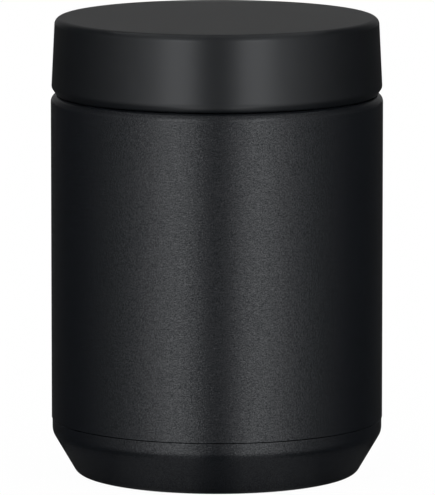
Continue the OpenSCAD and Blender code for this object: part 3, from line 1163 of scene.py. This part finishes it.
@dataclass(frozen=True)
class Lid:
    """The lid: moulded cover, threaded collar under it, and the foam between them."""

    sizes: Sizes
    top_r: float = 46.3
    low_r: float = 47.3
    top_round: float = 2.0
    bevel_h: float = 1.9
    bevel_w: float = 1.3
    low_round: float = 1.6
    gap: float = 0.15
    lip_t: float = 2.2
    cover_t: float = 2.1
    cover_in_round: float = 1.0
    ledge_h: float = 2.6
    ledge_w: float = 0.5
    collar_rise: float = 0.9
    collar_t: float = 2.1
    collar_in_round: float = 0.4
    flange_room: float = 0.1
    flange_t: float = 1.6
    flange_round: float = 0.6
    roof_t: float = 1.6
    roof_round: float = 1.0
    ceiling_h: float = 2.8
    pusher_r: float = 8.0
    pusher_h: float = 0.8
    snap_w: float = 0.9
    snap_crest_half: float = 0.2
    snap_root_half: float = 0.65
    ridge_h: float = 1.0
    ridge_rise: float = 4.0
    ridge_turn: float = 60.0
    ridge_contact: float = 1.42
    ridge_play: float = 0.25

    def build(self) -> None:
        """Builds the cover and the collar, and dresses the foam."""
        s = self.sizes
        top = s.shoulder_z + s.lid_h
        low = s.shoulder_z + self.gap
        lip_r = self.low_r - self.lip_t
        cover = Turned("lid_shell", rounded(
            (0.0, top), (self.top_r, top, self.top_round),
            (self.low_r, low + self.bevel_h, self.low_round), (self.low_r - self.bevel_w, low),
            (lip_r, low), (lip_r, low + self.ledge_h), (lip_r - self.ledge_w, low + self.ledge_h),
            (self.top_r - self.cover_t, top - self.cover_t, self.cover_in_round),
            (0.0, top - self.cover_t),
        )).build()
        place(cover, Body.LID, Slot.LID_PLASTIC, LID_SKIN, "lid_cover")
        self._collar(low, lip_r)
        dress("lid_foam", FOAM)

    def _collar(self, low: float, lip_r: float) -> None:
        """Builds the threaded collar.

        Args:
            low: Height of the lid's lower edge.
            lip_r: Inside radius of the lid's lower edge.
        """
        s = self.sizes
        collar_r, collar_low = s.collar_r, low + self.collar_rise
        snap_low, snap_r = s.rim_z - self.snap_root_half, collar_r - self.snap_w
        ceiling = s.rim_z + self.ceiling_h
        pusher_z, roof = ceiling + self.pusher_h, ceiling + self.roof_t
        hump_z, hump_r = pusher_z + self.roof_t, self.pusher_r + self.roof_t
        flange_r, flange_z = lip_r - self.flange_room, collar_low + self.flange_t
        out_r = collar_r + self.collar_t
        collar = Turned("lid_thread_ring", rounded(
            (0.0, pusher_z), (self.pusher_r, pusher_z), (self.pusher_r, ceiling),
            (collar_r, ceiling, self.collar_in_round),
            (collar_r, s.rim_z + self.snap_root_half), (snap_r, s.rim_z + self.snap_crest_half),
            (snap_r, s.rim_z - self.snap_crest_half), (collar_r, snap_low),
            (collar_r, collar_low, self.collar_in_round), (flange_r, collar_low),
            (flange_r, flange_z), (out_r, flange_z, self.flange_round),
            (out_r, roof, self.roof_round), (hump_r, roof), (hump_r, hump_z), (0.0, hump_z),
        ), zone=(collar_r, collar_low, snap_low)).build()
        turned = ScrewRidges.lead * self.ridge_turn / 360
        ScrewRidges(collar_r, Side.INSIDE, self.ridge_h,
                    s.ridge_z + turned - self.ridge_contact - self.ridge_play, self.ridge_rise,
                    s.ridge_phase + self.ridge_turn).raise_on(collar, LID_INSIDE.material())
        place(collar, Body.LID, Slot.LID_PLASTIC, LID_INSIDE, "lid_collar")


@dataclass(frozen=True)
class Stopper:
    """The stopper: top plate, cup with the valve's guide tube, seal and foam."""

    sizes: Sizes
    plate_rise: float = 0.7
    plate_t: float = 1.8
    plate_room: float = 0.5
    plate_top_round: float = 0.6
    plate_low_round: float = 0.3
    spigot_h: float = 2.0
    spigot_t: float = 1.5
    spigot_room: float = 0.1
    cup_room: float = 1.4
    cup_t: float = 1.5
    floor_t: float = 1.8
    depth: float = 16.5
    cup_round: float = 3.0
    tube_r: float = 5.2
    tube_t: float = 1.6
    tube_foot_round: float = 0.6
    hole_r: float = 3.0
    stop_r: float = 4.4
    stop_drop: float = 2.8
    bead_h: float = 0.6
    bead_drop: float = 0.5
    bead_ramp: float = 0.7
    bead_crest_w: float = 0.3
    seal_t: float = 0.5
    seal_gap: float = 0.15
    seal_drop: float = 3.5
    seal_edge: float = 0.1
    seal_rim_in: float = 0.4
    seal_round: float = 0.4
    seal_fine_round: float = 0.2
    bulge: float = 0.5
    bulge_low: float = 0.9
    bulge_high: float = 1.6
    bulge_drop: float = 1.2

    @property
    def cup_r(self) -> float:
        """Outside radius of the cup."""
        return self.sizes.mouth_r - self.cup_room

    @property
    def plate_z(self) -> float:
        """Height of the plate's underside."""
        return self.sizes.rim_z + self.plate_rise

    @property
    def low_z(self) -> float:
        """Height of the cup's underside."""
        return self.sizes.rim_z - self.depth

    def build(self) -> None:
        """Builds plate, cup and seal, and dresses the foam."""
        low, high = self.plate_z, self.plate_z + self.plate_t
        plate_r = self.sizes.collar_r - self.plate_room
        spigot_r = self.cup_r - self.cup_t - self.spigot_room
        spigot_z, spigot_in_r = low - self.spigot_h, spigot_r - self.spigot_t
        plate = Turned("stopper_top", rounded(
            (self.tube_r, high), (plate_r, high, self.plate_top_round),
            (plate_r, low, self.plate_low_round), (spigot_r, low), (spigot_r, spigot_z),
            (spigot_in_r, spigot_z), (spigot_in_r, low), (self.tube_r, low),
        )).build()
        place(plate, Body.STOPPER, Slot.STOPPER_PLASTIC, STOPPER_SKIN, "stopper_plate")
        cup = Turned("stopper_body", self._cup_outline()).build()
        place(cup, Body.STOPPER, Slot.STOPPER_PLASTIC, STOPPER_SKIN, "stopper_cup")
        seal = Turned("mouth_seal", self._seal_outline(), edge=self.seal_edge).build()
        place(seal, Body.STOPPER, Slot.SILICONE, SILICONE, "stopper_seal")
        dress("stopper_foam", FOAM)

    def _cup_outline(self) -> Outline:
        """Draws the cup and its guide tube.

        Returns:
            Their closed outline.
        """
        low, cup_r = self.low_z, self.cup_r
        floor = low + self.floor_t
        top = self.plate_z - self.sizes.weld_gap
        stop = self.sizes.rim_z - self.stop_drop
        bead, bead_r = self.sizes.rim_z - self.seal_drop - self.bead_drop, cup_r + self.bead_h
        in_r, tube_out_r = cup_r - self.cup_t, self.tube_r + self.tube_t
        return rounded(
            (self.hole_r, low), (cup_r, low, self.cup_round), (cup_r, bead - self.bead_ramp),
            (bead_r, bead), (bead_r, bead + self.bead_crest_w), (cup_r, bead + self.bead_crest_w),
            (cup_r, top), (in_r, top), (in_r, floor, self.cup_round - self.cup_t),
            (tube_out_r, floor, self.tube_foot_round), (tube_out_r, top), (self.tube_r, top),
            (self.tube_r, stop), (self.stop_r, stop), (self.stop_r, floor), (self.hole_r, floor),
        )

    def _seal_outline(self) -> Outline:
        """Draws the seal: a flange for the rim and a lip for the mouth.

        Returns:
            Its closed outline.
        """
        s = self.sizes
        flange, low = s.rim_z + self.seal_gap, s.rim_z - self.seal_drop
        lip_r = s.mouth_r - self.seal_gap
        side_r = lip_r - self.bulge
        in_r, out_r = self.cup_r + s.weld_gap, s.neck_r - self.seal_rim_in
        return rounded(
            (in_r, low), (side_r, low, self.seal_fine_round),
            (lip_r, low + self.bulge_low, self.seal_round),
            (lip_r, low + self.bulge_high, self.seal_round),
            (side_r, flange - self.bulge_drop, self.seal_round),
            (side_r, flange, self.seal_round), (out_r, flange, self.seal_fine_round),
            (out_r, flange + self.seal_t), (in_r, flange + self.seal_t),
        )


@dataclass(frozen=True)
class VentValve:
    """The valve that lets the vacuum out: head and stem, ring seal, cap and return spring."""

    sizes: Sizes
    stopper: Stopper
    segments: int = 96
    head_r: float = 8.5
    head_t: float = 1.4
    head_room: float = 0.1
    head_round: float = 0.3
    stem_r: float = 1.8
    stem_round: float = 0.5
    stem_reach: float = 2.1
    edge_w: float = 1.6
    edge_h: float = 0.7
    edge_steps: int = 7
    edge_angle: float = 84.0
    edge_room: float = 0.05
    dome_h: float = 0.4
    ring_r: float = 6.7
    ring_t: float = 0.6
    ring_room: float = 0.02
    ring_low_half: float = 1.1
    ring_top_half: float = 0.8
    ring_round: float = 0.15
    cap_r: float = 4.9
    cap_h: float = 3.2
    cap_drop: float = 1.1
    cap_low_round: float = 0.3
    cap_top_round: float = 0.8
    socket_room: float = 0.1
    travel: float = 1.5
    wire_d: float = 0.6
    coil_r: float = 3.4
    spring_low_room: float = 0.1
    spring_top_room: float = 0.05

    def build(self) -> None:
        """Builds the four pieces."""
        s = self.sizes
        head_z = self.stopper.low_z - self.head_room - self.ring_t
        low = head_z - self.head_t
        cap_low, cap_top = s.rim_z - self.cap_drop, s.rim_z + self.cap_h
        stem_top = cap_low + self.stem_reach
        edge = [
            (self.head_r - self.edge_w * (1 - math.cos(a)), low + self.edge_h * (1 - math.sin(a)))
            for a in (math.radians(self.edge_angle * k / self.edge_steps)
                      for k in range(self.edge_steps, -1, -1))
        ]
        valve = Turned("valve_stem", [(0.0, low - self.dome_h)] + edge + rounded(
            (self.head_r, low + self.edge_h + self.edge_room),
            (self.head_r, head_z, self.head_round), (self.stem_r, head_z, self.stem_round),
            (self.stem_r, stem_top, self.stem_round), (0.0, stem_top),
        ), self.segments).build()
        place(valve, Body.VENT, Slot.STOPPER_PLASTIC, STOPPER_SKIN, "vent_valve")

        ring_low, ring_top = head_z + self.ring_room, head_z + self.ring_t
        ring = Turned("valve_seal", [
            (self.ring_r - self.ring_low_half, ring_low),
            (self.ring_r + self.ring_low_half, ring_low),
            (self.ring_r + self.ring_top_half, ring_top),
            (self.ring_r - self.ring_top_half, ring_top),
        ], self.segments, edge=self.ring_round).build()
        place(ring, Body.VENT, Slot.SILICONE, SILICONE, "vent_seal")

        socket_r, socket_z = self.stem_r + s.weld_gap, stem_top + self.socket_room
        cap = Turned("valve_button", rounded(
            (socket_r, cap_low), (self.cap_r, cap_low, self.cap_low_round),
            (self.cap_r, cap_top, self.cap_top_round), (0.0, cap_top), (0.0, socket_z),
            (socket_r, socket_z),
        ), self.segments).build()
        place(cap, Body.VENT, Slot.STOPPER_PLASTIC, STOPPER_SKIN, "vent_cap")

        spring_low = self.stopper.low_z + self.stopper.floor_t + self.spring_low_room
        spring_high = cap_low - self.spring_top_room
        spring = CoilSpring("valve_spring", self.coil_r, self.wire_d, spring_low,
                            spring_high).build(DRAWN_WIRE.material())
        place(spring, Body.STOPPER, Slot.SPRING_STEEL, DRAWN_WIRE, "vent_spring")
        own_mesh(spring)


# ---- Studio ----


def aim(thing: Piece, target: Vector, azimuth: float, elevation: float, distance: float) -> None:
    """Stands a lamp or a camera round the jar and turns it to face it.

    Args:
        thing: The lamp or camera.
        target: The point that it faces.
        azimuth: Its direction round the jar, in degrees from the front.
        elevation: Its direction above the level, in degrees.
        distance: How far from the point it stands, in metres.
    """
    a, e = math.radians(azimuth), math.radians(elevation)
    way = Vector((math.sin(a) * math.cos(e), -math.cos(a) * math.cos(e), math.sin(e)))
    thing.location = target + way * distance
    thing.rotation_euler = way.to_track_quat("Z", "Y").to_euler()


@dataclass(frozen=True)
class Lamp:
    """A soft box that faces the jar from a direction round it."""

    name: str
    azimuth: float
    elevation: float
    width: float
    height: float
    watts: float
    distance: float = 3.0

    def build(self, target: Vector) -> None:
        """Makes the lamp.

        Args:
            target: The point that it faces.
        """
        light = bpy.data.lights.new(self.name, "AREA")
        light.shape = "RECTANGLE"
        light.size, light.size_y = self.width, self.height
        light.energy = self.watts
        lamp = in_scene(self.name, light)
        lamp.visible_camera = False
        aim(lamp, target, self.azimuth, self.elevation, self.distance)


@dataclass(frozen=True)
class Cloth:
    """A graded dark cloth of the studio, the same on the left and the right.

    The jar is so dark that its look is all reflections, and a shiny black thing shows its shape
    only where it mirrors dark cloth beside the white. Only reflections see the cloth: it casts
    no shadow and takes no light from the jar or the floor. The cloths round the foot are painted
    shadow, which stands for the jar's own shadow on the floor in its reflections.

    Its tones are pairs of an azimuth and a share of the light given back at the near edge, and
    fade is what is left of them at the far one. The edges are pairs of a radius and a height. A
    cloth that fans out turns its rays to twice their azimuth, as a round wall throws back what
    it mirrors.
    """

    name: str
    tones: tuple[tuple[float, float], ...]
    near: tuple[float, float]
    far: tuple[float, float]
    fans: bool = False
    fade: float = 1.0
    steps: int = 6

    def build(self) -> None:
        """Makes the cloth from its near edge to its far one."""
        verts, faces, greys = [], [], []
        reach = self.far[0] - self.near[0]
        for side in (-1, 1):
            first = len(verts)
            for (a0, t0), (a1, t1) in zip(self.tones, self.tones[1:]):
                for k in range(self.steps + 1):
                    share = k / self.steps
                    a = math.radians(a0 + (a1 - a0) * share) * side
                    x, y = self.near[0] * math.sin(a), -self.near[0] * math.cos(a)
                    b = 2 * a if self.fans else a
                    verts.append((x, y, self.near[1]))
                    verts.append((x + reach * math.sin(b), y - reach * math.cos(b), self.far[1]))
                    tone = t0 + (t1 - t0) * share
                    greys += [tone, tone * self.fade]
            faces += [(i, i + 1, i + 3, i + 2) for i in range(first, len(verts) - 2, 2)]
        mesh = bpy.data.meshes.new(self.name)
        mesh.from_pydata(verts, [], faces)
        mesh.attributes.new("tone", "FLOAT", "POINT").data.foreach_set("value", greys)
        mesh.materials.append(material_of("studio_cloth", self._dull))
        cloth = in_scene(self.name, mesh)
        cloth.visible_camera = cloth.visible_diffuse = cloth.visible_transmission = False
        cloth.visible_shadow = False

    @staticmethod
    def _dull(tree: Tree) -> Node:
        """Builds the shader of a dull cloth with the mesh's tones."""
        tone = add_node(tree, "ShaderNodeAttribute", attribute_name="tone")
        return add_node(tree, "ShaderNodeBsdfDiffuse", {"Color": tone.outputs["Fac"]})


# Edges of cloths, as a radius and a height in metres. Cloths on the floor lie a tenth of a
# millimetre above or below those that they overlap.
UNDER_FOOT = (0.034, 0.0003)
BESIDE_WALL = (0.052, 0.0003)
FAR_FLOOR = (2.95, 0.0003)
CURTAIN_FOOT = (3.0, 0.0)
CARD_TOP = (3.0, 1.15)
CURTAIN_TOP = (3.0, 3.6)


@dataclass(frozen=True)
class Studio:
    """Camera, pale floor, white surroundings, soft boxes and cloths, in metres."""

    target: Vector = Vector((0, 0, 0.065))
    camera_distance: float = 2.024
    camera_elevation: float = 8.275
    camera_reach: float = 50.0
    lens: float = 513.4
    picture_h: int = 495
    shift_pixels: tuple[float, float] = (0.58, -0.76)
    floor_r: float = 12.0
    floor_sides: int = 96
    floor_colour: str = "#fafafa"
    glow: float = 0.98
    fill: float = 1.02
    lamps: tuple[Lamp, ...] = tuple(
        Lamp(name, azimuth, elevation=9.5, width=1.06, height=1.14, watts=3.3)
        for name, azimuth in (("left_key", -26), ("right_key", 26))
    )
    cloths: tuple[Cloth, ...] = (
        # Painted shadow: this ring darkens the floor right under the jar's foot, in place of the
        # jar's own shadow there.
        Cloth("foot_shadow_cloth", ((0, 0.15), (5, 0.22), (12, 0.45), (25, 0.45), (38, 0.27), (50, 0.11),
                             (90, 0.08), (180, 0.07)), UNDER_FOOT, BESIDE_WALL, fade=0.58,
              steps=12),
        # Painted shadow: this ring darkens the floor just beside the wall, in place of the jar's
        # own shadow there.
        Cloth("near_shadow_cloth", ((0, 0.05), (3, 0.08), (6, 0.2), (9, 0.35), (19, 0.35), (24, 0.25),
                             (30, 0.14), (38, 0.06), (50, 0.01)), (0.052, 0.0004), (0.07, 0.0004),
              fans=True),
        Cloth("middle_cloth", ((0, 0.145), (3, 0.25), (6, 0.45), (8.5, 0.82)), BESIDE_WALL,
              FAR_FLOOR, fans=True),
        Cloth("side_cloth", ((19, 0.95), (24, 0.65), (30, 0.38), (38, 0.17), (50, 0.04),
                             (60, 0.015), (75, 0.025), (90, 0.04)), BESIDE_WALL, FAR_FLOOR,
              fans=True),
        Cloth("back_cloth", ((90, 0.01), (160, 0.01), (172, 0.6), (180, 0.6)), (0.052, 0.0002),
              (2.95, 0.0002), steps=24),
        Cloth("front_card", ((0, 0.1), (8, 0.2), (15, 0.5)), CURTAIN_FOOT, CARD_TOP),
        Cloth("upper_card", ((0, 0.15), (10, 0.35), (25, 0.75), (42, 0.7)), CARD_TOP, CURTAIN_TOP),
        Cloth("curtain", ((42, 0.65), (54, 0.5), (68, 0.34), (84, 0.17), (105, 0.06), (125, 0.03),
                          (145, 0.06), (160, 0.14), (180, 0.14)), CURTAIN_FOOT, CURTAIN_TOP),
        Cloth("ceiling_cloth", ((0, 0.1), (12, 0.25), (28, 0.47), (150, 0.47), (166, 0.35),
                                (180, 0.2)), (0.0, 3.6), (3.05, 3.6), steps=12),
    )

    def build(self) -> None:
        """Makes all of the studio."""
        bpy.context.scene.view_settings.view_transform = "Standard"
        self._camera()
        for lamp in self.lamps:
            lamp.build(self.target)
        for cloth in self.cloths:
            cloth.build()
        self._floor()
        self._world()

    def _camera(self) -> None:
        """Makes the camera and sets it as the scene's."""
        data = bpy.data.cameras.new("camera")
        data.lens = self.lens
        data.shift_x, data.shift_y = (v / self.picture_h for v in self.shift_pixels)
        data.clip_end = self.camera_reach
        camera = in_scene("camera", data)
        aim(camera, self.target, 0, self.camera_elevation, self.camera_distance)
        bpy.context.scene.camera = camera

    @staticmethod
    def _seen(tree: Tree) -> Node:
        """Tells the rays that see the background from those that only bring light.

        Args:
            tree: The tree of a material or of the world.

        Returns:
            A node that gives 1 for camera, glossy and transmission rays, and 0 for the others.
        """
        ray = add_node(tree, "ShaderNodeLightPath").outputs
        seen = add_node(tree, MATH, {0: ray["Is Camera Ray"], 1: ray["Is Glossy Ray"]},
                        operation="MAXIMUM")
        return add_node(tree, MATH, {0: seen, 1: ray["Is Transmission Ray"]}, operation="MAXIMUM")

    def _pale(self, tree: Tree) -> Node:
        """Builds the floor's shader: pale paint, and close to white wherever it is seen.

        Args:
            tree: The material's tree.

        Returns:
            The shader node.
        """
        paint = add_node(tree, "ShaderNodeBsdfDiffuse", {"Color": linear(self.floor_colour)})
        glow = add_node(tree, "ShaderNodeEmission", {"Strength": 1.0})
        share = add_node(tree, MATH, {0: self._seen(tree), 1: self.glow}, operation="MULTIPLY")
        return add_node(tree, "ShaderNodeMixShader", {0: share, 1: paint, 2: glow})

    def _floor(self) -> None:
        """Makes the floor, lit by the studio."""
        shape = bmesh.new()
        bmesh.ops.create_circle(shape, cap_ends=True, segments=self.floor_sides,
                                radius=self.floor_r)
        mesh = bpy.data.meshes.new("floor")
        shape.to_mesh(mesh)
        shape.free()
        pale = material_of("pale_floor", self._pale)
        pale.cycles.emission_sampling = "NONE"
        mesh.materials.append(pale)
        floor = in_scene("floor", mesh)

    def _world(self) -> None:
        """Makes the surroundings: white wherever they are seen, and soft fill light otherwise."""
        world = bpy.data.worlds.new("surroundings")
        bpy.context.scene.world = world
        world.use_nodes = True
        world.cycles.sampling_method = "NONE"
        tree = world.node_tree
        tree.nodes.clear()
        dim, white = (
            add_node(tree, "ShaderNodeBackground", {"Color": (1, 1, 1, 1), "Strength": strength})
            for strength in (self.fill, 1.0)
        )
        mixed = add_node(tree, "ShaderNodeMixShader", {0: self._seen(tree), 1: dim, 2: white})
        add_node(tree, "ShaderNodeOutputWorld", {"Surface": mixed})


def main() -> None:
    """Builds the jar's sub-assemblies in order, then the studio."""
    logging.basicConfig(level=logging.INFO, format="%(name)s: %(message)s")
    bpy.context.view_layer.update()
    sizes = Sizes()
    stopper = Stopper(sizes)
    for assembly in (PaintedShell(sizes), SteelVessel(sizes), Lid(sizes), stopper,
                     VentValve(sizes, stopper)):
        log.info("building %s", type(assembly).__name__)
        assembly.build()
    Studio().build()


if __name__ == "__main__":
    main()
